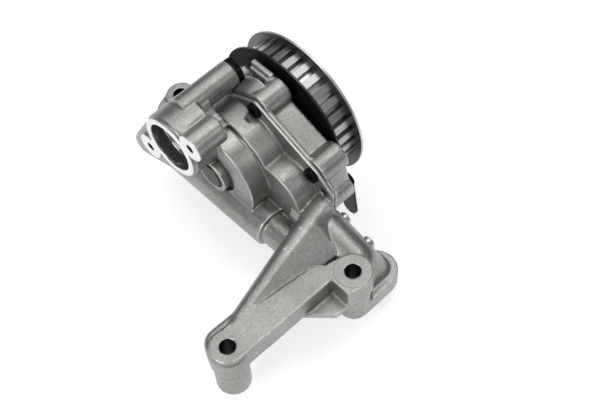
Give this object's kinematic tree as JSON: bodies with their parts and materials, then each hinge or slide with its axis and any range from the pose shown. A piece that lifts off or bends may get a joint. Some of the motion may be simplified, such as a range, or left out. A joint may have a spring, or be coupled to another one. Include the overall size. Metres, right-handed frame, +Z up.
{
  "type": "engine oil pump",
  "caption": "Cast engine oil pump on a three-boss bracket: gerotor set, relief valve, gallery tube, outlet port and a toothed belt wheel between two flanges.",
  "frame": {"origin": "centre of mounting hole 1 in the plane of the feet", "axes": "+Z up out of the foot plane along the mounting holes, +X along the drive shaft towards the belt wheel"},
  "size_m": [0.1473, 0.1616, 0.1001],
  "materials": {
    "cast_aluminium": "sand-cast, satin",
    "machined_aluminium": "machined",
    "ground_steel": "ground",
    "sintered_steel": "sintered, satin",
    "bright_steel": "milled, bright",
    "blackened_steel": "blackened, glossy",
    "dark_steel": "oiled, satin",
    "bronze": "turned",
    "copper": "annealed"
  },
  "bodies": {
    "housing": {"pump_housing": "cast_aluminium", "front_cover": "cast_aluminium", "rear_bush": "bronze", "front_bush": "bronze", "cover_screw_1": "blackened_steel", "cover_screw_2": "blackened_steel", "cover_screw_3": "blackened_steel", "cover_screw_4": "blackened_steel", "cover_screw_5": "blackened_steel", "dowel_1": "ground_steel", "dowel_2": "ground_steel", "relief_plug": "blackened_steel", "relief_seal": "copper", "relief_spring": "ground_steel", "gallery_plug_1": "bright_steel", "gallery_plug_2": "bright_steel", "tube_plug": "bright_steel", "belt_guard_tab": "dark_steel"},
    "rotor": {"drive_shaft": "ground_steel", "inner_rotor": "sintered_steel", "rotor_key": "ground_steel", "pulley_wheel": "bright_steel", "pulley_rear_flange": "blackened_steel", "pulley_front_flange": "dark_steel", "pulley_washer": "dark_steel", "pulley_bolt": "blackened_steel"},
    "outer_rotor": {"outer_rotor": "sintered_steel"},
    "piston": {"relief_piston": "ground_steel"}
  },
  "joints": [
    {"name": "shaft_spin", "type": "hinge", "parent": "housing", "child": "rotor", "pos_m": [0.0622, 0.082, 0.0368], "axis": [1, 0, 0], "continuous": true},
    {"name": "outer_rotor_spin", "type": "hinge", "parent": "housing", "child": "outer_rotor", "pos_m": [0.0882, 0.0796, 0.0368], "axis": [1, 0, 0], "continuous": true},
    {"name": "relief_slide", "type": "slide", "parent": "housing", "child": "piston", "axis": [1, 0, 0], "range_m": [0, 0.006], "stiffness_N_per_m": 1500, "springref_m": -0.004, "deforming": ["relief_spring"]}
  ],
  "couplings": [
    {"joint": "outer_rotor_spin", "follows": "shaft_spin", "ratio": 0.85714}
  ]
}
